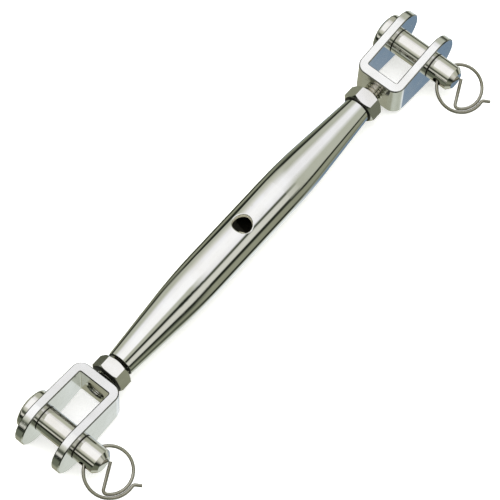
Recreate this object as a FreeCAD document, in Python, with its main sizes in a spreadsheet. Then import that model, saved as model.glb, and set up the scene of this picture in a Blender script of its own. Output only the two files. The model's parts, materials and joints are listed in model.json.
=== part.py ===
import math
import os

import FreeCAD
import Part
import Sketcher
from FreeCAD import Placement, Rotation, Vector

# Closed-body turnbuckle with a fork at each end, in millimetres.
# Frame: origin at the centre of the barrel's cross-hole, +X along the body towards the upper
# fork, +Z along the cross-hole and out of both fork windows, +Y towards the clevis pin heads.

DIMENSIONS = [
    # alias, value, what it is
    ("thread_radius", 3.0, "major radius of the M6 studs"),
    ("running_gap", 0.08, "radial running clearance of every turning fit"),
    ("barrel_half", 54.6, "half of the barrel's length"),
    ("barrel_radius", 6.75, "radius of the cylindrical middle"),
    ("barrel_end_radius", 4.2, "radius at the ends of the tapers"),
    ("taper_start", 24.0, "distance from the middle to where taper and cylinder would meet"),
    ("taper_blend", 190.0, "radius that blends the tapers into the cylinder"),
    ("cavity_radius", 5.1, "radius of the hollow in the middle"),
    ("cavity_half", 20.0, "half length of the straight part of the hollow"),
    ("tapped_depth", 17.0, "length of thread in each end of the barrel"),
    ("barrel_rim", 0.35, "rounding of the barrel's end rims"),
    ("cross_radius", 3.0, "radius of the cross-hole for a turning bar"),
    ("cross_rim", 0.3, "rounding of the cross-hole's rims"),
    ("nut_flats", 10.0, "width across the flats of a lock nut"),
    ("nut_height", 5.0, "height of a lock nut"),
    ("nut_chamfer", 1.05, "radial depth of the chamfer at a nut's corners"),
    ("nut_bevel_run", 1.1, "length of the cut that makes the corner chamfer"),
    ("nut_mouth", 0.5, "chamfer at the mouths of a nut's thread"),
    ("upper_nut_gap", 0.06, "gap between the upper lock nut and the barrel's end"),
    ("lower_nut_gap", 1.1, "gap between the lower lock nut and the barrel's end"),
    ("upper_nut_roll", 12.0, "angle that the upper nut's top flat leans from level, in degrees"),
    ("lower_nut_roll", 6.5, "angle that the lower nut's top flat leans from level, in degrees"),
    ("upper_reach", 62.9, "distance from the middle to the upper fork's base"),
    ("lower_reach", 62.2, "distance from the middle to the lower fork's base"),
    ("stud_length", 56.3, "length of a stud between its inner end and the fork's base"),
    ("stud_chamfer", 0.6, "chamfer at a stud's ends"),
    ("stud_recess", 0.8, "how far a stud's outer end lies below the fork's inner face"),
    ("strap_thickness", 2.8, "thickness of the fork's ears"),
    ("base_thickness", 3.2, "thickness of the fork's base"),
    ("strap_width", 11.6, "width of the strap at the fork's base"),
    ("jaw_gap", 10.7, "clear width between the ears"),
    ("pin_distance", 18.6, "distance from a fork's base to its clevis pin's axis"),
    ("eye_offset", 1.6, "how far the rounded end's centre lies beyond the pin"),
    ("eye_radius", 8.1, "radius of the rounded end of an ear"),
    ("bend_radius", 3.4, "outer radius of the strap's two bends"),
    ("inner_bend", 0.4, "inner radius of the strap's two bends"),
    ("strap_bevel", 0.3, "bevel along the strap's edges"),
    ("fork_mouth", 0.45, "chamfer at the inner mouth of the fork's threaded hole"),
    ("pin_radius", 4.0, "radius of a clevis pin"),
    ("pin_tip", 16.6, "distance from the body's axis to the pin's tip"),
    ("pin_chamfer", 1.3, "chamfer at the pin's tip"),
    ("head_gap", 0.05, "gap between a pin's head and the ear"),
    ("head_radius", 6.2, "radius of a pin's head"),
    ("head_rim", 2.3, "height of the straight rim of a pin's head"),
    ("head_height", 3.9, "height of a pin's head at its middle"),
    ("head_round", 0.8, "rounding of the head's outer edge"),
    ("ring_hole", 12.2, "distance from the body's axis to the pin's cross-hole"),
    ("ring_hole_radius", 1.4, "radius of the pin's cross-hole"),
    ("wire_radius", 0.5, "radius of the ring cotter's wire"),
    ("ring_radius", 6.8, "radius of the ring's inner half turn"),
    ("ring_step", 0.54, "distance between the centres of the ring's half turns"),
    ("ring_start", 143.0, "angle where the ring's first half turn starts, in degrees"),
    ("ring_overlap", 61.0, "angle that the ring's end runs past its start, in degrees"),
    ("ring_droop", 20.0, "angle that the ring hangs below level, in degrees"),
    ("ring_lean", 8.0, "angle that the ring leans sideways in its loose hole, in degrees"),
    ("leg_length", 8.0, "length of the ring's straight inner leg"),
    ("leg_bend", 1.1, "radius of the bend into the inner leg"),
    ("leg_angle", 98.0, "angle of the bend into the inner leg, in degrees"),
    ("tail_length", 1.9, "length of the ring's outer tail"),
    ("tail_bend", 1.0, "radius of the bend into the outer tail"),
    ("tail_angle", 61.0, "angle of the bend into the outer tail, in degrees"),
]

doc = FreeCAD.newDocument("turnbuckle")
sheet = doc.addObject("Spreadsheet::Sheet", "Dimensions")
SIZE = {}
for row, (alias, value, meaning) in enumerate(DIMENSIONS, start=1):
    sheet.set(f"A{row}", meaning)
    sheet.set(f"B{row}", str(value))
    sheet.setAlias(f"B{row}", alias)
    SIZE[alias] = value
doc.recompute()

X_AXIS = Vector(1, 0, 0)
Y_AXIS = Vector(0, 1, 0)
Z_AXIS = Vector(0, 0, 1)
parts = []


def cell(formula):
    """The formula as an expression, with each driving dimension read from the sheet."""
    words = []
    for word in formula.split():
        words.append(f"Dimensions.{word}" if word in SIZE else word)
    return " ".join(words)


def number(formula):
    """The formula's value now, for the first guess that a sketch is drawn with."""
    words = [str(SIZE.get(word, word)) for word in formula.split()]
    return float(FreeCAD.Units.Quantity(" ".join(words)).Value)


def new_body(label):
    body = doc.addObject("PartDesign::Body", label)
    body.Label = label
    parts.append(body)
    return body


def put(body, turn, at_x, at_y="0"):
    """Turn the body and move it along X and Y by the two formulas."""
    body.Placement = Placement(Vector(number(at_x), number(at_y), 0), turn)
    body.setExpression("Placement.Base.x", cell(at_x))
    body.setExpression("Placement.Base.y", cell(at_y))


def origin_feature(body, role):
    return next(f for f in body.Origin.OriginFeatures if f.Role == role)


def new_sketch(body, name, plane):
    sketch = body.newObject("Sketcher::SketchObject", name)
    sketch.AttachmentSupport = [(origin_feature(body, plane), "")]
    sketch.MapMode = "FlatFace"
    return sketch


def bind(sketch, kind, *where, formula):
    """Add a driving constraint and bind it to the sheet."""
    index = sketch.addConstraint(Sketcher.Constraint(kind, *where, number(formula)))
    sketch.setExpression(f"Constraints[{index}]", cell(formula))


def place_point(sketch, geometry, end, at_x, at_y):
    bind(sketch, "DistanceX", -1, 1, geometry, end, formula=at_x)
    bind(sketch, "DistanceY", -1, 1, geometry, end, formula=at_y)


def closed_outline(sketch, corners):
    """Straight lines round the corners, each corner given as two formulas."""
    points = [Vector(number(x), number(y), 0) for x, y in corners]
    lines = []
    for start, end in zip(points, points[1:] + points[:1]):
        lines.append(sketch.addGeometry(Part.LineSegment(start, end)))
    for line, following in zip(lines, lines[1:] + lines[:1]):
        sketch.addConstraint(Sketcher.Constraint("Coincident", line, 2, following, 1))
    for line, (x, y) in zip(lines, corners):
        place_point(sketch, line, 1, x, y)
    return lines


def circle(sketch, at_x, at_y, radius):
    centre = Vector(number(at_x), number(at_y), 0)
    index = sketch.addGeometry(Part.Circle(centre, Z_AXIS, number(radius)))
    place_point(sketch, index, 3, at_x, at_y)
    bind(sketch, "Radius", index, formula=radius)


def feature(body, kind, name, **settings):
    made = body.newObject(kind, name)
    for key, value in settings.items():
        setattr(made, key, value)
    return made


def revolve(body, kind, name, sketch, axis):
    made = feature(body, kind, name, Profile=sketch, ReferenceAxis=(sketch, [axis]))
    made.Angle = 360
    return made


def cut_through(body, name, sketch):
    """Cut the sketch right through the body, both ways from its plane."""
    made = feature(body, "PartDesign::Pocket", name, Profile=sketch)
    made.Type = "ThroughAll"
    made.SideType = "Symmetric"
    return made


def dress(body, kind, name, base, edges, size_property, formula):
    """Round or bevel the named edges of the base feature."""
    made = feature(body, kind, name, Base=(base, edges))
    made.setExpression(size_property, cell(formula))
    return made


def volume_of(feature_made):
    doc.recompute()
    return feature_made.Shape.Volume


def edges_where(feature_made, test):
    """Names of the feature's edges whose shape passes the test."""
    doc.recompute()
    found = []
    for n, edge in enumerate(feature_made.Shape.Edges, start=1):
        if not edge.Degenerated and test(edge):
            found.append(f"Edge{n}")
    return found


def is_round_about_x(edge, radius, at_x):
    """True for a whole circle about the X axis of this radius at this distance along X."""
    curve = edge.Curve
    if not isinstance(curve, Part.Circle):
        return False
    close = abs(curve.Radius - radius) < 0.01 and abs(abs(curve.Center.x) - at_x) < 0.01
    return close and abs(abs(curve.Axis.x) - 1) < 0.001


def make_barrel():
    body = new_body("barrel")
    outer = new_sketch(body, "barrel_outline", "XY_Plane")
    half, end, top = SIZE["barrel_half"], SIZE["barrel_end_radius"], SIZE["barrel_radius"]
    slope = math.atan2(top - end, half - SIZE["taper_start"])
    reach = SIZE["taper_blend"] * math.tan(slope / 2)
    straight = SIZE["taper_start"] - reach
    lines = [outer.addGeometry(Part.LineSegment(Vector(-straight, top), Vector(straight, top)))]
    outer.addConstraint(Sketcher.Constraint("Horizontal", lines[0]))
    bind(outer, "DistanceY", -1, 1, lines[0], 1, formula="barrel_radius")
    for side in (-1, 1):
        middle_end = 1 if side < 0 else 2
        centre = Vector(side * straight, top - SIZE["taper_blend"])
        blend_circle = Part.Circle(centre, Z_AXIS, SIZE["taper_blend"])
        angles = sorted((math.pi / 2, math.pi / 2 - side * slope))
        blend = outer.addGeometry(Part.ArcOfCircle(blend_circle, *angles))
        inner, far = (1, 2) if side < 0 else (2, 1)
        touch = centre + Vector(side * math.sin(slope), math.cos(slope)) * SIZE["taper_blend"]
        taper = outer.addGeometry(Part.LineSegment(touch, Vector(side * half, end)))
        face = outer.addGeometry(Part.LineSegment(Vector(side * half, end), Vector(side * half, 0)))
        outer.addConstraint(Sketcher.Constraint("Tangent", lines[0], middle_end, blend, inner))
        outer.addConstraint(Sketcher.Constraint("Tangent", blend, far, taper, 1))
        outer.addConstraint(Sketcher.Constraint("Coincident", taper, 2, face, 1))
        bind(outer, "Radius", blend, formula="taper_blend")
        place_point(outer, face, 1, f"{side} * barrel_half", "barrel_end_radius")
        place_point(outer, face, 2, f"{side} * barrel_half", "0")
        meeting = outer.addGeometry(Part.Point(Vector(side * SIZE["taper_start"], top)), True)
        place_point(outer, meeting, 1, f"{side} * taper_start", "barrel_radius")
        outer.addConstraint(Sketcher.Constraint("PointOnObject", meeting, 1, taper))
        lines.append(face)
    axis = outer.addGeometry(Part.LineSegment(Vector(-half, 0), Vector(half, 0)))
    outer.addConstraint(Sketcher.Constraint("Coincident", axis, 1, lines[1], 2))
    outer.addConstraint(Sketcher.Constraint("Coincident", axis, 2, lines[2], 2))
    turned = revolve(body, "PartDesign::Revolution", "barrel_turned", outer, "H_Axis")
    rims = edges_where(
        turned, lambda e: is_round_about_x(e, SIZE["barrel_end_radius"], SIZE["barrel_half"])
    )
    rounded = dress(
        body, "PartDesign::Fillet", "barrel_rims", turned, rims, "Radius", "barrel_rim"
    )
    solid_volume = volume_of(rounded)

    hollow = new_sketch(body, "barrel_hollow", "XY_Plane")
    bore = "thread_radius + running_gap"
    mouth = "thread_radius + running_gap + barrel_rim"
    closed_outline(hollow, [
        ("-1 * barrel_half", "0"),
        ("-1 * barrel_half", mouth),
        ("barrel_rim - barrel_half", bore),
        ("tapped_depth - barrel_half", bore),
        ("-1 * cavity_half", "cavity_radius"),
        ("cavity_half", "cavity_radius"),
        ("barrel_half - tapped_depth", bore),
        ("barrel_half - barrel_rim", bore),
        ("barrel_half", mouth),
        ("barrel_half", "0"),
    ])
    bored = revolve(body, "PartDesign::Groove", "barrel_bore", hollow, "H_Axis")
    bored_volume = volume_of(bored)
    assert bored_volume < solid_volume - 100, "the barrel's hollow cut nothing"

    hole = new_sketch(body, "barrel_cross_hole_outline", "XY_Plane")
    circle(hole, "0", "0", "cross_radius")
    drilled = cut_through(body, "barrel_cross_hole", hole)
    assert volume_of(drilled) < bored_volume - 10, "the cross-hole cut nothing"

    def is_outer_rim(edge):
        across = max(math.hypot(v.X, v.Y) for v in edge.Vertexes)
        outside = min(math.hypot(v.Y, v.Z) for v in edge.Vertexes)
        return abs(across - SIZE["cross_radius"]) < 0.01 and outside > SIZE["cavity_radius"] + 1

    rims = edges_where(drilled, is_outer_rim)
    dress(body, "PartDesign::Fillet", "barrel_hole_rims", drilled, rims, "Radius", "cross_rim")


def make_stud(label):
    """A stud along X. The origin is where it enters the fork's base."""
    body = new_body(label)
    outline = new_sketch(body, f"{label}_outline", "XY_Plane")
    end = "base_thickness - stud_recess"
    closed_outline(outline, [
        ("-1 * stud_length", "0"),
        ("-1 * stud_length", "thread_radius - stud_chamfer"),
        ("stud_chamfer - stud_length", "thread_radius"),
        (f"{end} - stud_chamfer", "thread_radius"),
        (end, "thread_radius - stud_chamfer"),
        (end, "0"),
    ])
    revolve(body, "PartDesign::Revolution", f"{label}_turned", outline, "H_Axis")
    return body


def make_lock_nut(label):
    """A hexagon nut, chamfered on both sides, from its inner face at the origin along +X."""
    body = new_body(label)
    blank = new_sketch(body, f"{label}_flats", "YZ_Plane")
    corner = SIZE["nut_flats"] / math.sqrt(3)
    turns = [math.radians(60 * n) for n in range(6)]
    points = [Vector(corner * math.cos(a), corner * math.sin(a), 0) for a in turns]
    sides = []
    for start, end in zip(points, points[1:] + points[:1]):
        sides.append(blank.addGeometry(Part.LineSegment(start, end)))
    for side, following in zip(sides, sides[1:] + sides[:1]):
        blank.addConstraint(Sketcher.Constraint("Coincident", side, 2, following, 1))
    round_corners = blank.addGeometry(Part.Circle(Vector(), Z_AXIS, corner), True)
    blank.addConstraint(Sketcher.Constraint("Coincident", round_corners, 3, -1, 1))
    bind(blank, "Radius", round_corners, formula="nut_flats / sqrt(3)")
    for side in sides:
        blank.addConstraint(Sketcher.Constraint("PointOnObject", side, 1, round_corners))
    for side, following in zip(sides[:-1], sides[1:]):
        blank.addConstraint(Sketcher.Constraint("Equal", side, following))
    blank.addConstraint(Sketcher.Constraint("PointOnObject", sides[0], 1, -1))
    prism = feature(body, "PartDesign::Pad", f"{label}_blank", Profile=blank)
    prism.setExpression("Length", cell("nut_height"))
    full = volume_of(prism)

    bevel = new_sketch(body, f"{label}_bevel", "XY_Plane")
    inside = "nut_flats / sqrt(3) - nut_chamfer"
    outside = "nut_flats / sqrt(3) + 0.5"
    run = "nut_bevel_run"
    for near, far in (("0", run), ("nut_height", f"nut_height - {run}")):
        closed_outline(bevel, [(near, inside), (near, outside), (far, outside)])
    bevelled = revolve(body, "PartDesign::Groove", f"{label}_chamfers", bevel, "H_Axis")
    cut = volume_of(bevelled)
    assert cut < full - 1, "the nut's chamfers cut nothing"

    bore = new_sketch(body, f"{label}_thread", "XY_Plane")
    radius = "thread_radius + running_gap"
    mouth = "thread_radius + running_gap + nut_mouth"
    closed_outline(bore, [
        ("0", "0"),
        ("0", mouth),
        ("nut_mouth", radius),
        ("nut_height - nut_mouth", radius),
        ("nut_height", mouth),
        ("nut_height", "0"),
    ])
    bored = revolve(body, "PartDesign::Groove", f"{label}_bore", bore, "H_Axis")
    assert volume_of(bored) < cut - 50, "the nut's bore cut nothing"
    return body


def make_fork(label):
    """A fork bent from strap: its base stands at the origin, its two ears run along +X."""
    body = new_body(label)
    tip = "pin_distance + eye_offset + eye_radius"
    outside = "jaw_gap / 2 + strap_thickness"
    inside = "jaw_gap / 2"
    floor = "base_thickness"
    bent = new_sketch(body, f"{label}_bent", "XY_Plane")
    closed_outline(bent, [
        ("0", f"-1 * ( {outside} )"),
        (tip, f"-1 * ( {outside} )"),
        (tip, f"-1 * {inside}"),
        (floor, f"-1 * {inside}"),
        (floor, inside),
        (tip, inside),
        (tip, outside),
        ("0", outside),
    ])
    strap = feature(body, "PartDesign::Pad", f"{label}_strap", Profile=bent)
    strap.SideType = "Symmetric"
    strap.setExpression("Length", cell("2 * eye_radius + 1"))
    full = volume_of(strap)

    # The ears' outline seen from the side: straight edges tangent to the rounded end.
    side = new_sketch(body, f"{label}_side", "XZ_Plane")
    centre_x = number("pin_distance + eye_offset")
    half = SIZE["strap_width"] / 2
    lean = math.atan2(half, centre_x)
    rise = math.asin(SIZE["eye_radius"] / math.hypot(centre_x, half)) - lean
    turn = math.pi / 2 + rise
    start = Vector(0, half, 0)
    touch = Vector(
        centre_x + SIZE["eye_radius"] * math.cos(turn), SIZE["eye_radius"] * math.sin(turn), 0
    )
    low_start = Vector(start.x, -start.y, 0)
    low_touch = Vector(touch.x, -touch.y, 0)
    eye_circle = Part.Circle(Vector(centre_x, 0, 0), Z_AXIS, SIZE["eye_radius"])
    eye = side.addGeometry(Part.ArcOfCircle(eye_circle, -turn, turn))
    upper = side.addGeometry(Part.LineSegment(touch, start))
    end = side.addGeometry(Part.LineSegment(start, low_start))
    lower = side.addGeometry(Part.LineSegment(low_start, low_touch))
    side.addConstraint(Sketcher.Constraint("Tangent", eye, 2, upper, 1))
    side.addConstraint(Sketcher.Constraint("Coincident", upper, 2, end, 1))
    side.addConstraint(Sketcher.Constraint("Coincident", end, 2, lower, 1))
    side.addConstraint(Sketcher.Constraint("Tangent", lower, 2, eye, 1))
    place_point(side, eye, 3, "pin_distance + eye_offset", "0")
    bind(side, "Radius", eye, formula="eye_radius")
    place_point(side, end, 1, "0", "strap_width / 2")
    place_point(side, end, 2, "0", "-1 * strap_width / 2")
    margin = "eye_radius + 3"
    closed_outline(side, [
        ("-3", f"-1 * ( {margin} )"),
        (f"{tip} + 3", f"-1 * ( {margin} )"),
        (f"{tip} + 3", margin),
        ("-3", margin),
    ])
    trimmed = cut_through(body, f"{label}_trim", side)
    outlined = volume_of(trimmed)
    assert outlined < full - 100, "the fork's side outline cut nothing"

    def runs_along_z(edge, at_x, at_y):
        if edge.Length < SIZE["strap_width"] - 1:
            return False
        ends = [v.Point for v in edge.Vertexes]
        near = all(abs(p.x - at_x) < 0.01 and abs(abs(p.y) - at_y) < 0.01 for p in ends)
        return near and abs(ends[0].z - ends[1].z) > 1

    bends = edges_where(trimmed, lambda e: runs_along_z(e, 0, number(outside)))
    bent_round = dress(
        body, "PartDesign::Fillet", f"{label}_bends", trimmed, bends, "Radius", "bend_radius"
    )
    corners = edges_where(bent_round, lambda e: runs_along_z(e, number(floor), number(inside)))
    smooth = dress(
        body, "PartDesign::Fillet", f"{label}_corners", bent_round, corners, "Radius", "inner_bend"
    )

    # The bevel follows every edge where a wide face of the strap meets its narrow side.
    def is_strap_edge(edge):
        middle = edge.valueAt((edge.FirstParameter + edge.LastParameter) / 2)
        on_side = abs(middle.z) > SIZE["strap_width"] / 2 - 0.05
        on_eye = math.hypot(middle.x - centre_x, middle.z) > SIZE["eye_radius"] - 0.01
        crosses = abs(edge.tangentAt(edge.FirstParameter).y) > 0.99
        return (on_side or on_eye) and not (crosses and middle.x > 3)

    outline_edges = edges_where(smooth, is_strap_edge)
    bevelled = dress(
        body, "PartDesign::Chamfer", f"{label}_bevel", smooth, outline_edges, "Size", "strap_bevel"
    )
    before = volume_of(bevelled)

    eyes = new_sketch(body, f"{label}_eyes", "XZ_Plane")
    circle(eyes, "pin_distance", "0", "pin_radius + running_gap")
    pierced = cut_through(body, f"{label}_pin_holes", eyes)
    after = volume_of(pierced)
    assert after < before - 100, "the fork's eyes cut nothing"

    hole = new_sketch(body, f"{label}_tapping", "XY_Plane")
    closed_outline(hole, [
        ("0", "0"),
        ("0", "thread_radius"),
        (f"{floor} - fork_mouth", "thread_radius"),
        (floor, "thread_radius + fork_mouth"),
        (floor, "0"),
    ])
    tapped = revolve(body, "PartDesign::Groove", f"{label}_stud_hole", hole, "H_Axis")
    assert volume_of(tapped) < after - 10, "the fork's stud hole cut nothing"
    return body


def make_clevis_pin(label):
    """A clevis pin along Y: domed head at +Y, chamfered tip and cross-hole at -Y."""
    body = new_body(label)
    outline = new_sketch(body, f"{label}_outline", "XY_Plane")
    under = "jaw_gap / 2 + strap_thickness + head_gap"
    rim = f"{under} + head_rim"
    crown = f"{under} + head_height"
    corners = [
        ("0", "-1 * pin_tip"),
        ("pin_radius - pin_chamfer", "-1 * pin_tip"),
        ("pin_radius", "pin_chamfer - pin_tip"),
        ("pin_radius", under),
        ("head_radius", under),
        ("head_radius", rim),
    ]
    points = [Vector(number(x), number(y), 0) for x, y in corners]
    top = Vector(0, number(crown), 0)
    lines = [
        outline.addGeometry(Part.LineSegment(a, b)) for a, b in zip(points[:-1], points[1:])
    ]
    rise = number("head_height - head_rim")
    dome_radius = (SIZE["head_radius"] ** 2 + rise ** 2) / (2 * rise)
    dome_circle = Part.Circle(Vector(0, top.y - dome_radius, 0), Z_AXIS, dome_radius)
    reach = math.acos(SIZE["head_radius"] / dome_radius)
    dome = outline.addGeometry(Part.ArcOfCircle(dome_circle, reach, math.pi / 2))
    axis = outline.addGeometry(Part.LineSegment(top, points[0]))
    for line, following in zip(lines[:-1], lines[1:]):
        outline.addConstraint(Sketcher.Constraint("Coincident", line, 2, following, 1))
    outline.addConstraint(Sketcher.Constraint("Coincident", lines[-1], 2, dome, 1))
    outline.addConstraint(Sketcher.Constraint("Coincident", dome, 2, axis, 1))
    outline.addConstraint(Sketcher.Constraint("Coincident", axis, 2, lines[0], 1))
    for line, (x, y) in zip(lines, corners[:-1]):
        place_point(outline, line, 1, x, y)
    place_point(outline, lines[-1], 2, *corners[-1])
    place_point(outline, axis, 1, "0", crown)
    outline.addConstraint(Sketcher.Constraint("PointOnObject", dome, 3, -2))
    turned = revolve(body, "PartDesign::Revolution", f"{label}_turned", outline, "V_Axis")

    def is_head_edge(edge):
        curve = edge.Curve
        if not isinstance(curve, Part.Circle):
            return False
        return abs(curve.Radius - SIZE["head_radius"]) < 0.01 and curve.Center.y > number(rim) - 0.01

    crown_edges = edges_where(turned, is_head_edge)
    rounded = dress(
        body, "PartDesign::Fillet", f"{label}_crown", turned, crown_edges, "Radius", "head_round"
    )
    full = volume_of(rounded)
    hole = new_sketch(body, f"{label}_cross_hole_outline", "YZ_Plane")
    circle(hole, "-1 * ring_hole", "0", "ring_hole_radius")
    drilled = cut_through(body, f"{label}_cross_hole", hole)
    assert volume_of(drilled) < full - 10, "the pin's cross-hole cut nothing"
    return body


def turned_point(centre, radius, degrees):
    angle = math.radians(degrees)
    return centre + Vector(radius * math.cos(angle), radius * math.sin(angle), 0)


def make_ring_cotter(label):
    """A wire ring of a little over one turn that lies in its own XY plane.

    The wire spirals outwards clockwise in half turns about two centres, so that its end lies
    just outside its start. The pin's cross-hole is at the origin, and the ring's middle is on
    the -Y side of it. The start is bent inwards to a straight leg, the end outwards to a tail.
    """
    body = new_body(label)
    start_angle = -SIZE["ring_start"]
    radii = [SIZE["ring_radius"] + n * SIZE["ring_step"] for n in range(3)]
    sagitta = radii[1] - math.sqrt(radii[1] ** 2 - SIZE["pin_radius"] ** 2)
    step_back = Vector(
        math.cos(math.radians(start_angle)), math.sin(math.radians(start_angle)), 0
    ) * SIZE["ring_step"]
    second = Vector(0, sagitta / 2 - radii[1], 0)
    first = second - step_back
    centres = [first, second, first]
    spans = [180, 180, SIZE["ring_overlap"]]

    spine = new_sketch(body, f"{label}_spine", "XY_Plane")
    turns = []
    angle = start_angle
    for centre, radius, span in zip(centres, radii, spans):
        arc_circle = Part.Circle(centre, Z_AXIS, radius)
        begin, finish = math.radians(angle), math.radians(angle + span)
        turns.append(spine.addGeometry(Part.ArcOfCircle(arc_circle, begin, finish)))
        angle += span
    last_angle = angle

    # inner leg: from the start, the wire turns inwards on a small arc and then runs straight
    start_point = turned_point(first, radii[0], start_angle)
    leg_centre = turned_point(start_point, SIZE["leg_bend"], start_angle + 180)
    leg_circle = Part.Circle(leg_centre, Z_AXIS, SIZE["leg_bend"])
    bend_from = start_angle - SIZE["leg_angle"]
    leg_arc = Part.ArcOfCircle(leg_circle, math.radians(bend_from), math.radians(start_angle))
    leg_turn = spine.addGeometry(leg_arc)
    leg_point = turned_point(leg_centre, SIZE["leg_bend"], bend_from)
    leg_end = turned_point(leg_point, SIZE["leg_length"], bend_from - 90)
    leg = spine.addGeometry(Part.LineSegment(leg_end, leg_point))

    # outer tail: from the end, the wire turns outwards on a small arc and then runs straight
    end_point = turned_point(first, radii[2], last_angle)
    tail_centre = turned_point(end_point, SIZE["tail_bend"], last_angle)
    tail_circle = Part.Circle(tail_centre, Z_AXIS, SIZE["tail_bend"])
    tail_from = last_angle + 180 - SIZE["tail_angle"]
    tail_to = last_angle + 180
    tail_turn = spine.addGeometry(
        Part.ArcOfCircle(tail_circle, math.radians(tail_from), math.radians(tail_to))
    )
    tail_point = turned_point(tail_centre, SIZE["tail_bend"], tail_from)
    tail_end = turned_point(tail_point, SIZE["tail_length"], tail_from - 90)
    tail = spine.addGeometry(Part.LineSegment(tail_point, tail_end))
    for index in [*turns, leg_turn, leg, tail_turn, tail]:
        spine.addConstraint(Sketcher.Constraint("Block", index))

    across = body.newObject("Sketcher::SketchObject", f"{label}_wire")
    across.AttachmentSupport = [(origin_feature(body, "XY_Plane"), "")]
    across.MapMode = "Deactivated"
    along = (leg_point - leg_end).normalize()
    across.Placement = Placement(leg_end, Rotation(Z_AXIS, along))
    section = across.addGeometry(Part.Circle(Vector(), Z_AXIS, SIZE["wire_radius"]))
    across.addConstraint(Sketcher.Constraint("Coincident", section, 3, -1, 1))
    bind(across, "Radius", section, formula="wire_radius")
    wire = feature(body, "PartDesign::AdditivePipe", f"{label}_pipe", Profile=across)
    wire.Spine = (spine, [])
    length = sum(math.radians(s) * r for s, r in zip(spans, radii))
    length += math.radians(SIZE["leg_angle"]) * SIZE["leg_bend"] + SIZE["leg_length"]
    length += math.radians(SIZE["tail_angle"]) * SIZE["tail_bend"] + SIZE["tail_length"]
    expected = length * math.pi * SIZE["wire_radius"] ** 2
    made = volume_of(wire)
    assert abs(made - expected) < 0.02 * expected, f"ring volume {made} against {expected}"
    return body


make_barrel()
upright = Rotation()
about_face = Rotation(Z_AXIS, 180)
hang = Rotation(X_AXIS, SIZE["ring_droop"]) * Rotation(Y_AXIS, -SIZE["ring_lean"])
for prefix, side, turn in (("upper", 1, upright), ("lower", -1, about_face)):
    base_at = f"{side} * {prefix}_reach"
    pin_at = f"{side} * ( {prefix}_reach + pin_distance )"
    roll = Rotation(X_AXIS, side * SIZE[f"{prefix}_nut_roll"])
    put(make_lock_nut(f"{prefix}_lock_nut"), turn * roll, f"{side} * ( barrel_half + {prefix}_nut_gap )")
    put(make_stud(f"{prefix}_stud"), turn, base_at)
    put(make_fork(f"{prefix}_fork"), turn, base_at)
    put(make_clevis_pin(f"{prefix}_clevis_pin"), upright, pin_at)
    put(make_ring_cotter(f"{prefix}_ring_cotter"), hang, pin_at, "-1 * ring_hole")

doc.recompute()
for item in doc.Objects:
    wrong = {"Invalid", "Error"} & set(item.State)
    assert not wrong, f"{item.Label} is {wrong}"
for part in parts:
    assert not part.Shape.isNull() and part.Shape.isValid(), f"{part.Label} has no valid shape"
    assert len(part.Shape.Solids) == 1, f"{part.Label} is not one solid"

os.makedirs("parts", exist_ok=True)
for part in parts:
    part.Shape.exportStep(f"parts/{part.Label}.step")
    box = part.Shape.BoundBox
    print(f"{part.Label}: volume {part.Shape.Volume:.1f} mm3, x {box.XMin:.2f} to {box.XMax:.2f},"
          f" y {box.YMin:.2f} to {box.YMax:.2f}, z {box.ZMin:.2f} to {box.ZMax:.2f}")
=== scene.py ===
import json
import math

import bmesh
import bpy
from mathutils import Matrix, Vector


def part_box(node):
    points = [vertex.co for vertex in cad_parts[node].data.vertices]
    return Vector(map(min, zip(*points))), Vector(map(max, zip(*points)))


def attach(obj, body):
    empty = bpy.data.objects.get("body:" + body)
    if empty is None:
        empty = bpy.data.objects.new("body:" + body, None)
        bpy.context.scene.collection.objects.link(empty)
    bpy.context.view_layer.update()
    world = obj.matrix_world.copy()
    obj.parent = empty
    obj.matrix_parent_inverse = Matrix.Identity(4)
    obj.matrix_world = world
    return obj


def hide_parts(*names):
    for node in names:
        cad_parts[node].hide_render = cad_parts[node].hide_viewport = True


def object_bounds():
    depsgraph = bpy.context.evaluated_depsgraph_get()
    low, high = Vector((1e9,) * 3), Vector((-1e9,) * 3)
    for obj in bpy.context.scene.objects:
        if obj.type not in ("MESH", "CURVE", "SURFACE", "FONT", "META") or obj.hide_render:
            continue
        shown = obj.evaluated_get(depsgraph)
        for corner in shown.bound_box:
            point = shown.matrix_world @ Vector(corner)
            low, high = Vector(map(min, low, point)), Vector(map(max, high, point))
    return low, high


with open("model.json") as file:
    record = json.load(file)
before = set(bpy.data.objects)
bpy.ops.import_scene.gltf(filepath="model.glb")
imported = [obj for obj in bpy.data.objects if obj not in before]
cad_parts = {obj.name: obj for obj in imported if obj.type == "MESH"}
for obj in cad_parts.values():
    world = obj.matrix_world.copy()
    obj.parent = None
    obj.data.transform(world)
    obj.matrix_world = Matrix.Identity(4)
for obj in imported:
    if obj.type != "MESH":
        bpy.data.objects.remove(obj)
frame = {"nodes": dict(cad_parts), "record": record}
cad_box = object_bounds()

# A jaw and jaw turnbuckle of polished stainless steel, in metres, in the CAD's frame:
# +X along the body towards the upper fork, +Z out of the fork windows, +Y towards the pin heads.
MM = 0.001
ENDS = ("lower", "upper")
SLOT_OF_NODE = {part["node"]: part["material_slot"] for part in frame["record"]["subparts"]}


def along_x(node_name):
    """Where a CAD node starts and ends along X."""
    low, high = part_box(node_name)
    return low[0], high[0]


def linear(tint):
    """A display colour as the linear colour that Blender works in."""
    return tuple(((c + 0.055) / 1.055) ** 2.4 if c > 0.04 else c / 12.92 for c in tint)


def show(piece):
    """Put a new object in the scene."""
    bpy.context.scene.collection.objects.link(piece)


# ---------------------------------------------------------------- node helpers

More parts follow.
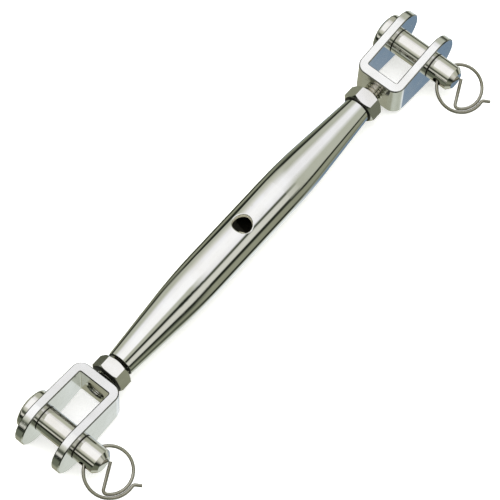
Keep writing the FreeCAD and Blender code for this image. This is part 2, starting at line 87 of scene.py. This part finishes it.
class Nodes:
    """A short way to add nodes to one tree and join them up."""

    def __init__(self, tree):
        self.tree = tree
        tree.nodes.clear()

    def add(self, kind, inputs=None, **settings):
        node = self.tree.nodes.new(kind)
        for key, value in settings.items():
            setattr(node, key, value)
        for key, value in (inputs or {}).items():
            self.feed(node.inputs[key], value)
        return node

    def feed(self, socket, value):
        if isinstance(value, bpy.types.NodeSocket):
            self.tree.links.new(value, socket)
        else:
            socket.default_value = value

    def math(self, operation, *values):
        return self.add("ShaderNodeMath", dict(enumerate(values)), operation=operation).outputs[0]

    def fade(self, value, low, high):
        """0 where value is at low, 1 at high, and even between."""
        return self.add("ShaderNodeMapRange", {
            "Value": value, "From Min": low, "From Max": high, "To Min": 0.0, "To Max": 1.0,
        }).outputs[0]

    def at_least(self, value, mask, least):
        """The value, raised to least where mask is 1."""
        return self.math("MAXIMUM", value, self.math("MULTIPLY", mask, least))

    def within(self, value, low, high):
        """1 where value is between low and high."""
        above = self.math("GREATER_THAN", value, low)
        return self.math("MULTIPLY", above, self.math("LESS_THAN", value, high))

    def ramp(self, factor, stops):
        node = self.add("ShaderNodeValToRGB", {"Fac": factor})
        elements = node.color_ramp.elements
        while len(elements) < len(stops):
            elements.new(1.0)
        for element, (position, colour) in zip(elements, stops):
            element.position = position
            element.color = (*colour, 1.0)
        return node.outputs["Color"]

    def mix(self, factor, first, second):
        node = self.add("ShaderNodeMix", data_type="RGBA")
        self.feed(node.inputs[0], factor)
        self.feed(node.inputs[6], first)
        self.feed(node.inputs[7], second)
        return node.outputs[2]

    def noise(self, where, scale, stretch=(1, 1, 1), detail=3.0, roughness=0.55):
        """Noise in metres: scale is features per metre, stretch makes it finer along an axis."""
        spot = self.add("ShaderNodeMapping", {"Vector": where, "Scale": stretch})
        node = self.add("ShaderNodeTexNoise", {
            "Vector": spot.outputs[0], "Scale": scale, "Detail": detail, "Roughness": roughness,
        })
        return node.outputs["Fac"]


# ---------------------------------------------------------------- masks on the steel

# Where each mask on the barrel begins and where it is whole, as a distance from the X axis or
# from the middle. Past the hollow's ends the barrel's outside is as narrow as the hollow.
HOLLOW_RADII = (5.2 * MM, 5.15 * MM)
HOLLOW_ENDS = (41 * MM, 40 * MM)
WALL_RADII = (6.5 * MM, 6.35 * MM)
WALL_SIDES = (3.2 * MM, 3.1 * MM)

# A bevel faces about halfway between two sides: the parts of its normal are in this range.
BEVEL_NORMAL = (0.55, 0.85)
LEAST_RISE = 0.25           # an ear's own bevels also face up or down by at least this much
SEAM_CORE = 0.6             # the part of a seam's half width that is dark all through


def hollow_masks(nodes, at):
    """1 inside the barrel's hollow, where shade is painted, and 1 on the walls of its cross-hole,
    painted pale beige for their light.
    """
    flat = nodes.add("ShaderNodeCombineXYZ", {"Y": at["Y"], "Z": at["Z"]}).outputs[0]
    off_axis = nodes.add("ShaderNodeVectorMath", {0: flat}, operation="LENGTH").outputs["Value"]
    off_middle = nodes.math("ABSOLUTE", at["X"])
    hollow = nodes.math("MULTIPLY", nodes.fade(off_axis, *HOLLOW_RADII),
                        nodes.fade(off_middle, *HOLLOW_ENDS))
    wall = nodes.math("MULTIPLY", nodes.fade(off_axis, *WALL_RADII),
                      nodes.fade(off_middle, *WALL_SIDES))
    return hollow, wall


def seam_mask(nodes, at, seams):
    """1 near the planes given as (axis, place, half width), and less from SEAM_CORE out."""
    total = 0.0
    for axis, place, half in seams:
        off = nodes.math("ABSOLUTE", nodes.math("SUBTRACT", at[axis], place))
        total = nodes.math("MAXIMUM", nodes.fade(off, half, half * SEAM_CORE), total)
    return total


def bevel_mask(nodes, at, base_end):
    """1 on the small bevels along the fork's strap, on its base as far as base_end along X, where
    dark reflections are painted.
    """
    facing = nodes.add("ShaderNodeTexCoord").outputs["Normal"]
    way = nodes.add("ShaderNodeSeparateXYZ", {"Vector": facing}).outputs
    sideways, up = nodes.math("ABSOLUTE", way["Y"]), nodes.math("ABSOLUTE", way["Z"])
    on_ears = nodes.math("MULTIPLY", nodes.within(sideways, *BEVEL_NORMAL),
                         nodes.math("GREATER_THAN", up, LEAST_RISE))
    near_base = nodes.math("LESS_THAN", nodes.math("ABSOLUTE", at["X"]), base_end)
    on_base = nodes.math("MULTIPLY", nodes.within(up, *BEVEL_NORMAL), near_base)
    return nodes.math("MAXIMUM", on_ears, on_base)


# ---------------------------------------------------------------- materials

# How many features a metre each kind of unevenness has.
WAVES = 90
SMEARS = 140
MARKS = 520
GRAIN = 1000
SMEAR_RANGE = (0.35, 0.7)   # the noise where a smear begins, and where it is whole
# A scratch follows the line where the noise of the marks passes SCRATCH_AT.
SCRATCH_AT, SCRATCH_HALF = 0.65, 0.015
SCRATCH_STAIN, SCRATCH_ROUGHNESS = 0.35, 0.12
# Parts of a steel's own roughness: everywhere, more in a smear, and more with the grain.
PLAIN_PART, SMEAR_PART, GRAIN_PART = 0.65, 0.7, 0.5

WHITE = (1, 1, 1)
BLACK = (0, 0, 0)
# What is painted on the steel for the light and shade on it: its colour, and its strength or
# roughness.
# a pale beige painted on the cross-hole's walls for the light on them
WALL, WALL_ROUGHNESS, WALL_METALLIC = (1.0, 0.96, 0.78, 1), 0.4, 0.15
# painted shade inside the barrel's hollow
HOLLOW_SHADE, HOLLOW_ROUGHNESS = (0.06, 0.058, 0.045, 1), 0.6
# painted shade in the seams: a dark band, rougher than the steel
SEAM_SHADE, SEAM_SHADE_STRENGTH, SEAM_SHADE_ROUGHNESS = (0.02, 0.019, 0.014, 1), 0.94, 0.5
# painted dark reflections on the strap's bevels
BEVEL_DARK_REFLECTION, BEVEL_DARK_REFLECTION_STRENGTH = (0.07, 0.075, 0.055, 1), 0.8


def polished_steel(name, tint, stain, rough, grain, grain_depth, wave_depth, scratch_way,
                   scratch_depth, hollow=False, seams=(), bevels_to=0.0):
    """Bright steel: a grain of fine lines, a slow waviness, handling marks and scratches.

    grain and scratch_way stretch the fine lines and the scratches, which are long where the
    number is small. A hollow piece is dull inside, with painted shade in its hollow and a pale
    beige painted on its cross-hole's walls for their light. Painted shade darkens the seams, and
    painted dark reflections lie on the strap's bevels as far as bevels_to along X.
    """
    material = bpy.data.materials.new(name)
    material.use_nodes = True
    nodes = Nodes(material.node_tree)
    where = nodes.add("ShaderNodeTexCoord").outputs["Object"]
    at = nodes.add("ShaderNodeSeparateXYZ", {"Vector": where}).outputs
    clean, stained = (*linear(tint), 1), (*linear(stain), 1)

    smear = nodes.fade(nodes.noise(where, SMEARS, detail=4), *SMEAR_RANGE)
    lines = nodes.noise(where, GRAIN, grain, detail=5, roughness=0.6)
    wave = nodes.noise(where, WAVES, detail=1)
    marks = nodes.noise(where, MARKS, scratch_way, detail=2)
    scratch = nodes.ramp(marks, [
        (0.0, BLACK), (SCRATCH_AT - SCRATCH_HALF, BLACK), (SCRATCH_AT, WHITE),
        (SCRATCH_AT + SCRATCH_HALF, BLACK), (1.0, BLACK),
    ])

    colour = nodes.mix(smear, clean, stained)
    colour = nodes.mix(nodes.math("MULTIPLY", scratch, SCRATCH_STAIN), colour, stained)
    smeared = nodes.math("MULTIPLY_ADD", smear, rough * SMEAR_PART, rough * PLAIN_PART)
    grained = nodes.math("MULTIPLY_ADD", lines, rough * GRAIN_PART, smeared)
    roughness = nodes.math("MULTIPLY_ADD", scratch, SCRATCH_ROUGHNESS, grained)
    metallic = 1.0
    # painted shade inside the hollow, dark and rough, and a pale beige painted on the cross-hole's
    # walls for their light
    if hollow:
        inside, wall = hollow_masks(nodes, at)
        colour = nodes.mix(wall, colour, WALL)
        colour = nodes.mix(inside, colour, HOLLOW_SHADE)
        roughness = nodes.at_least(roughness, inside, HOLLOW_ROUGHNESS)
        roughness = nodes.at_least(roughness, wall, WALL_ROUGHNESS)
        metallic = nodes.math("MULTIPLY_ADD", wall, WALL_METALLIC - 1, 1.0)
    # painted shade: the seams between parts are painted dark and made rougher
    if seams:
        seam_shade = nodes.math("MULTIPLY", seam_mask(nodes, at, seams), SEAM_SHADE_STRENGTH)
        colour = nodes.mix(seam_shade, colour, SEAM_SHADE)
        roughness = nodes.at_least(roughness, seam_shade, SEAM_SHADE_ROUGHNESS)
    # painted dark reflections: the strap's bevels, found by the way they face, are painted dark
    if bevels_to:
        bevel_dark_reflection = nodes.math("MULTIPLY", bevel_mask(nodes, at, bevels_to), BEVEL_DARK_REFLECTION_STRENGTH)
        colour = nodes.mix(bevel_dark_reflection, colour, BEVEL_DARK_REFLECTION)

    waved = nodes.add("ShaderNodeBump", {"Height": wave, "Strength": 1.0, "Distance": wave_depth})
    lined = nodes.add("ShaderNodeBump", {
        "Height": lines, "Strength": 1.0, "Distance": grain_depth, "Normal": waved.outputs[0],
    })
    scratched = nodes.add("ShaderNodeBump", {
        "Height": scratch, "Strength": 1.0, "Distance": scratch_depth, "Normal": lined.outputs[0],
    }, invert=True)
    shader = nodes.add("ShaderNodeBsdfPrincipled", {
        "Base Color": colour, "Metallic": metallic, "Roughness": roughness,
        "Normal": scratched.outputs[0],
    })
    nodes.add("ShaderNodeOutputMaterial", {"Surface": shader.outputs[0]})
    return material


barrel_low = along_x("barrel")[0]
lower_nut_low, lower_nut_high = along_x("lower_lock_nut")
upper_nut_low, upper_nut_high = along_x("upper_lock_nut")
EAR_FACES = (5.35 * MM, 8.2 * MM)   # inner and outer, from the middle of a pin
BASES_END = 67 * MM                 # just past the inside of the forks' bases

# Where shade is painted into the seams: (axis, place, half width) of each seam. The upper nut is
# tight against the barrel, and the lower one leaves a gap, where the stud is painted dark with
# shade.
BARREL_SEAMS = [("X", upper_nut_low, 0.16 * MM), ("X", barrel_low - 0.15 * MM, 0.3 * MM)]
NUT_SEAMS = [
    ("X", upper_nut_low, 0.12 * MM), ("X", upper_nut_high, 0.22 * MM),
    ("X", lower_nut_high + 0.05 * MM, 0.28 * MM), ("X", lower_nut_low, 0.5 * MM),
]
STUD_SEAMS = [
    ("X", (barrel_low + lower_nut_high) / 2, 0.75 * MM),
    ("X", lower_nut_low - 0.8 * MM, 0.9 * MM),
]
PIN_SEAMS = [("Y", side * face, 0.3 * MM) for side in (-1, 1) for face in EAR_FACES]

STEELS = {
    "barrel_steel": dict(
        tint=(0.905, 0.905, 0.905), stain=(0.885, 0.882, 0.872), rough=0.04,
        grain=(0.05, 1, 1), grain_depth=0.4e-6, wave_depth=6e-6,
        scratch_way=(0.25, 1, 1), scratch_depth=0.3e-6, hollow=True, seams=BARREL_SEAMS),
    "nut_steel": dict(
        tint=(0.90, 0.895, 0.895), stain=(0.86, 0.855, 0.84), rough=0.13,
        grain=(1, 0.3, 0.3), grain_depth=1.5e-6, wave_depth=4e-6,
        scratch_way=(1, 0.3, 0.4), scratch_depth=1.2e-6, seams=NUT_SEAMS),
    "fork_steel": dict(
        tint=(0.91, 0.91, 0.91), stain=(0.875, 0.875, 0.87), rough=0.12,
        grain=(1, 0.1, 1), grain_depth=2.2e-6, wave_depth=9e-6,
        scratch_way=(1, 0.2, 0.6), scratch_depth=1.6e-6, bevels_to=BASES_END),
    "pin_steel": dict(
        tint=(0.90, 0.895, 0.885), stain=(0.86, 0.85, 0.83), rough=0.07,
        grain=(0.25, 1, 0.25), grain_depth=1.2e-6, wave_depth=3e-6,
        scratch_way=(0.4, 1, 0.4), scratch_depth=1.0e-6, seams=PIN_SEAMS),
    "stud_steel": dict(
        tint=(0.87, 0.865, 0.845), stain=(0.76, 0.74, 0.69), rough=0.11,
        grain=(1, 0.3, 0.3), grain_depth=1.5e-6, wave_depth=3e-6,
        scratch_way=(1, 0.4, 0.4), scratch_depth=1.0e-6, seams=STUD_SEAMS),
    "wire_steel": dict(
        tint=(0.71, 0.70, 0.66), stain=(0.58, 0.565, 0.51), rough=0.06,
        grain=(1, 1, 1), grain_depth=1.0e-6, wave_depth=3e-6,
        scratch_way=(1, 0.5, 0.5), scratch_depth=0.8e-6),
}
MATERIALS = {slot: polished_steel(slot + "_look", **look) for slot, look in STEELS.items()}

for node_name, node in frame["nodes"].items():
    for slot in node.material_slots:
        slot.material = MATERIALS[SLOT_OF_NODE[node_name]]


# ---------------------------------------------------------------- threaded studs

PITCH = 1.0 * MM
THREAD_DEPTH = 0.6134 * MM
THREAD_SIDES = 60
# The thread's section over one pitch: how far along it, and which part of the thread's depth
# it lies below the crest.
THREAD_SECTION = [
    (0.0, 0.0), (0.12, 0.0), (0.17, 0.08), (0.42, 0.86), (0.48, 0.97),
    (0.56, 1.0), (0.64, 0.97), (0.70, 0.86), (0.95, 0.08),
]
SPARE_TURNS = 2             # turns past each end, which are pressed flat onto the end faces
STUD_CHAMFER = 0.6 * MM
CREASE = math.radians(32)
MERGE = 1e-7


def threaded_rod(name, start, end, radius, hand):
    """A closed mesh of a threaded rod along X with chamfered ends; hand is 1 or -1."""
    steps = len(THREAD_SECTION)
    first = math.floor(start / PITCH) - SPARE_TURNS
    turns = math.ceil(end / PITCH) + SPARE_TURNS + 1 - first
    count = turns * steps
    mesh = bmesh.new()
    columns = []
    for side in range(THREAD_SIDES):
        share = side / THREAD_SIDES
        angle = -2 * math.pi * share * hand
        column = []
        for index in range(count):
            turn, step = divmod(index, steps)
            along, depth = THREAD_SECTION[step]
            x = PITCH * (first + turn + along + share)
            x = min(max(x, start), end)
            to_end = min(x - start, end - x)
            reach = min(radius - depth * THREAD_DEPTH, radius - STUD_CHAMFER + to_end)
            if to_end <= 0:
                reach = radius - STUD_CHAMFER
            column.append(mesh.verts.new((x, reach * math.sin(angle), reach * math.cos(angle))))
        columns.append(column)
    for side, column in enumerate(columns):
        following = columns[(side + 1) % THREAD_SIDES]
        # past the last side the helix goes on one pitch further along
        shift = steps if side == THREAD_SIDES - 1 else 0
        for index in range(count - 1 - shift):
            beside = index + shift
            mesh.faces.new((
                column[index], following[beside], following[beside + 1], column[index + 1],
            ))
    bmesh.ops.remove_doubles(mesh, verts=mesh.verts, dist=MERGE)
    bmesh.ops.dissolve_degenerate(mesh, edges=mesh.edges, dist=MERGE)
    rims = [edge for edge in mesh.edges if edge.is_boundary]
    bmesh.ops.holes_fill(mesh, edges=rims)
    bmesh.ops.recalc_face_normals(mesh, faces=mesh.faces)
    data = bpy.data.meshes.new(name)
    mesh.to_mesh(data)
    mesh.free()
    data.shade_smooth()
    data.set_sharp_from_angle(angle=CREASE)
    piece = bpy.data.objects.new(name, data)
    show(piece)
    return piece


for end_name, hand in zip(ENDS, (1, -1)):
    low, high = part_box(f"{end_name}_stud")
    stud = threaded_rod(f"{end_name}_stud_thread", low[0], high[0], high[1], hand)
    stud.data.materials.append(MATERIALS["stud_steel"])
    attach(stud, f"{end_name}_jaw")
    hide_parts(f"{end_name}_stud")


# ---------------------------------------------------------------- floor

FLOOR_HALF = 3.0
FLOOR_GAP = 0.02 * MM
FIBRES = 60                 # a metre
PAPER, PAPER_FIBRE = (0.90, 0.90, 0.90, 1), (0.915, 0.915, 0.915, 1)
PAPER_GLOW = 0.45


def white_paper():
    """Matt paper that glows a little, so that it stays pale beyond the light."""
    material = bpy.data.materials.new("white_paper")
    material.use_nodes = True
    nodes = Nodes(material.node_tree)
    where = nodes.add("ShaderNodeTexCoord").outputs["Object"]
    fibre = nodes.noise(where, FIBRES, detail=4)
    shader = nodes.add("ShaderNodeBsdfPrincipled", {
        "Base Color": nodes.mix(fibre, PAPER, PAPER_FIBRE), "Roughness": 0.9,
        "Emission Color": (1, 1, 1, 1), "Emission Strength": PAPER_GLOW,
    })
    nodes.add("ShaderNodeOutputMaterial", {"Surface": shader.outputs[0]})
    return material


def make_floor():
    """A sheet of paper just under the object. The steel mirrors the studio instead of it."""
    mesh = bmesh.new()
    place = Matrix.Translation((0, 0, cad_box[0][2] - FLOOR_GAP))
    bmesh.ops.create_grid(mesh, x_segments=8, y_segments=8, size=FLOOR_HALF, matrix=place)
    data = bpy.data.meshes.new("floor")
    mesh.to_mesh(data)
    mesh.free()
    data.materials.append(white_paper())
    floor = bpy.data.objects.new("floor", data)
    floor.visible_glossy = False
    show(floor)


make_floor()


# ---------------------------------------------------------------- studio

# The studio as it mirrors in the steel: soft boxes with dark gaps between them, in bands.
CARDS = {
    "white": (0.985, 0.985, 0.985),
    "pearl": (0.93, 0.93, 0.935),
    "haze": (0.88, 0.90, 0.90),
    "cream": (0.82, 0.82, 0.78),
    "mist": (0.74, 0.76, 0.71),
    "beige": (0.70, 0.71, 0.65),
    "clay": (0.58, 0.58, 0.50),
    "olive": (0.56, 0.57, 0.49),
    "blue": (0.43, 0.51, 0.585),
    "dusk": (0.40, 0.42, 0.36),
    "gloom": (0.29, 0.31, 0.26),
    "black": (0.11, 0.13, 0.10),
}
STUDIO = {
    # the bands of the middle, right and left rooms run along X; each stop is at an angle
    # about X, from straight up (0) towards +Y (positive)
    "middle": [
        (-180, "white"), (-172, "haze"), (-156, "haze"), (-146, "mist"), (-138, "black"),
        (-128, "black"), (-120, "olive"), (-95, "olive"), (-87, "black"), (-78, "black"),
        (-72, "cream"), (-52, "cream"), (-45, "gloom"), (-39, "gloom"), (-32, "pearl"),
        (-5, "white"), (20, "white"), (40, "pearl"), (55, "cream"), (70, "beige"),
        (82, "beige"), (87, "black"), (96, "black"), (105, "olive"), (117, "olive"),
        (122, "black"), (132, "black"), (143, "olive"), (158, "mist"), (180, "haze"),
    ],
    "right": [
        (-180, "blue"), (-150, "blue"), (-140, "olive"), (-132, "dusk"), (-119, "olive"),
        (-99, "olive"), (-93, "black"), (-87, "black"), (-81, "beige"), (-38, "beige"),
        (-10, "pearl"), (20, "pearl"), (45, "beige"), (74, "beige"), (82, "black"),
        (92, "black"), (103, "dusk"), (122, "olive"), (150, "blue"), (180, "blue"),
    ],
    "left": [
        (-180, "clay"), (-172, "clay"), (-166, "mist"), (-152, "mist"), (-142, "olive"),
        (-136, "gloom"), (-126, "gloom"), (-111, "olive"), (-100, "dusk"), (-90, "black"),
        (-83, "black"), (-75, "cream"), (-52, "cream"), (-43, "black"), (-36, "black"),
        (-29, "beige"), (-17, "beige"), (-8, "white"), (25, "white"), (48, "pearl"),
        (66, "beige"), (88, "beige"), (98, "black"), (108, "black"), (122, "olive"),
        (150, "clay"), (180, "clay"),
    ],
    # the two far ends of the studio, at an angle about Y from straight up towards +X
    "ends": [
        (-180, "clay"), (-158, "mist"), (-145, "olive"), (-134, "dusk"), (-104, "dusk"),
        (-97, "black"), (-84, "black"), (-79, "cream"), (-72, "cream"), (-66, "gloom"),
        (-56, "gloom"), (-49, "beige"), (-36, "cream"), (-22, "white"), (20, "white"),
        (38, "cream"), (52, "beige"), (66, "beige"), (78, "beige"), (86, "dusk"),
        (91, "black"), (97, "black"), (103, "olive"), (112, "mist"), (128, "haze"),
        (152, "blue"), (180, "blue"),
    ],
}
# How far along X a mirrored direction points where each room begins and where it is whole.
RIGHT_FROM, RIGHT_TO = 0.38, 0.44
LEFT_FROM, LEFT_TO = 0.32, 0.24
FAR_RIGHT_FROM, FAR_RIGHT_TO = 0.58, 0.70
FAR_LEFT_FROM, FAR_LEFT_TO = -0.42, -0.54
GLOW = 1.22                 # strength of the studio in the steel
BACKDROP = (0.97, 0.97, 0.97, 1)
OVERHEAD_AT = (0.1, 0.15, 1.2)
OVERHEAD_SIZE = 2.6
OVERHEAD_POWER = 30.0


def studio_bands(nodes, angle, name):
    stops = [((degrees + 180) / 360, linear(CARDS[card])) for degrees, card in STUDIO[name]]
    return nodes.ramp(angle, stops)


def angle_from_up(nodes, sideways, up):
    """An angle from straight up as a share of a whole turn, with straight up at a half."""
    angle = nodes.math("ARCTAN2", sideways, up)
    return nodes.math("MULTIPLY_ADD", angle, 1 / (2 * math.pi), 0.5)


def make_studio():
    """The camera sees a plain pale backdrop, and the steel mirrors the studio's bands."""
    world = bpy.data.worlds.new("studio")
    bpy.context.scene.world = world
    world.use_nodes = True
    nodes = Nodes(world.node_tree)
    toward = nodes.add("ShaderNodeTexCoord").outputs["Generated"]
    way = nodes.add("ShaderNodeSeparateXYZ", {"Vector": toward}).outputs
    about_x = angle_from_up(nodes, way["Y"], way["Z"])
    about_y = angle_from_up(nodes, way["X"], way["Z"])
    to_right = nodes.fade(way["X"], RIGHT_FROM, RIGHT_TO)
    to_left = nodes.fade(way["X"], LEFT_FROM, LEFT_TO)
    past_right = nodes.fade(way["X"], FAR_RIGHT_FROM, FAR_RIGHT_TO)
    past_left = nodes.fade(way["X"], FAR_LEFT_FROM, FAR_LEFT_TO)
    bands = studio_bands(nodes, about_x, "middle")
    bands = nodes.mix(to_right, bands, studio_bands(nodes, about_x, "right"))
    bands = nodes.mix(to_left, bands, studio_bands(nodes, about_x, "left"))
    to_ends = nodes.math("MAXIMUM", past_right, past_left)
    bands = nodes.mix(to_ends, bands, studio_bands(nodes, about_y, "ends"))
    mirrored = nodes.add("ShaderNodeBackground", {"Color": bands, "Strength": GLOW})
    plain = nodes.add("ShaderNodeBackground", {"Color": BACKDROP, "Strength": 1.0})
    seen = nodes.add("ShaderNodeLightPath").outputs["Is Camera Ray"]
    both = nodes.add("ShaderNodeMixShader", {0: seen, 1: mirrored.outputs[0], 2: plain.outputs[0]})
    nodes.add("ShaderNodeOutputWorld", {"Surface": both.outputs[0]})


def make_overhead_light():
    """A large soft light that faces the origin. It lights, but isn't mirrored itself."""
    data = bpy.data.lights.new("overhead", "AREA")
    data.shape = "RECTANGLE"
    data.size = OVERHEAD_SIZE
    data.size_y = OVERHEAD_SIZE
    data.energy = OVERHEAD_POWER
    lamp = bpy.data.objects.new("overhead", data)
    lamp.location = OVERHEAD_AT
    lamp.rotation_euler = Vector(OVERHEAD_AT).to_track_quat("Z", "Y").to_euler()
    lamp.visible_glossy = False
    lamp.visible_camera = False
    show(lamp)


make_studio()
make_overhead_light()


# ---------------------------------------------------------------- camera

AZIMUTH = math.radians(-53.49)
ELEVATION = math.radians(63.04)
ROLL = math.radians(3.28)
DISTANCE = 0.777
FIELD = 0.146028            # width of the view at the object's middle
SHIFT = (0.0166, -0.033)    # of the view, as a part of its width
SENSOR = 36                 # mm
NEAREST = 0.01


def make_camera():
    """A camera that looks at the origin from DISTANCE away, shifted to frame the object."""
    back = Vector((
        math.sin(AZIMUTH) * math.cos(ELEVATION), -math.cos(AZIMUTH) * math.cos(ELEVATION),
        math.sin(ELEVATION),
    ))
    level = Vector((math.cos(AZIMUTH), math.sin(AZIMUTH), 0))
    across = level * math.cos(ROLL) + back.cross(level) * math.sin(ROLL)
    upward = back.cross(across)
    data = bpy.data.cameras.new("camera")
    data.sensor_width = SENSOR
    data.lens = SENSOR * DISTANCE / FIELD
    data.shift_x, data.shift_y = SHIFT
    data.clip_start = NEAREST
    camera = bpy.data.objects.new("camera", data)
    pose = Matrix((across, upward, back)).transposed().to_4x4()
    pose.translation = back * DISTANCE
    camera.matrix_world = pose
    show(camera)
    bpy.context.scene.camera = camera


make_camera()
bpy.context.scene.view_settings.view_transform = "Standard"
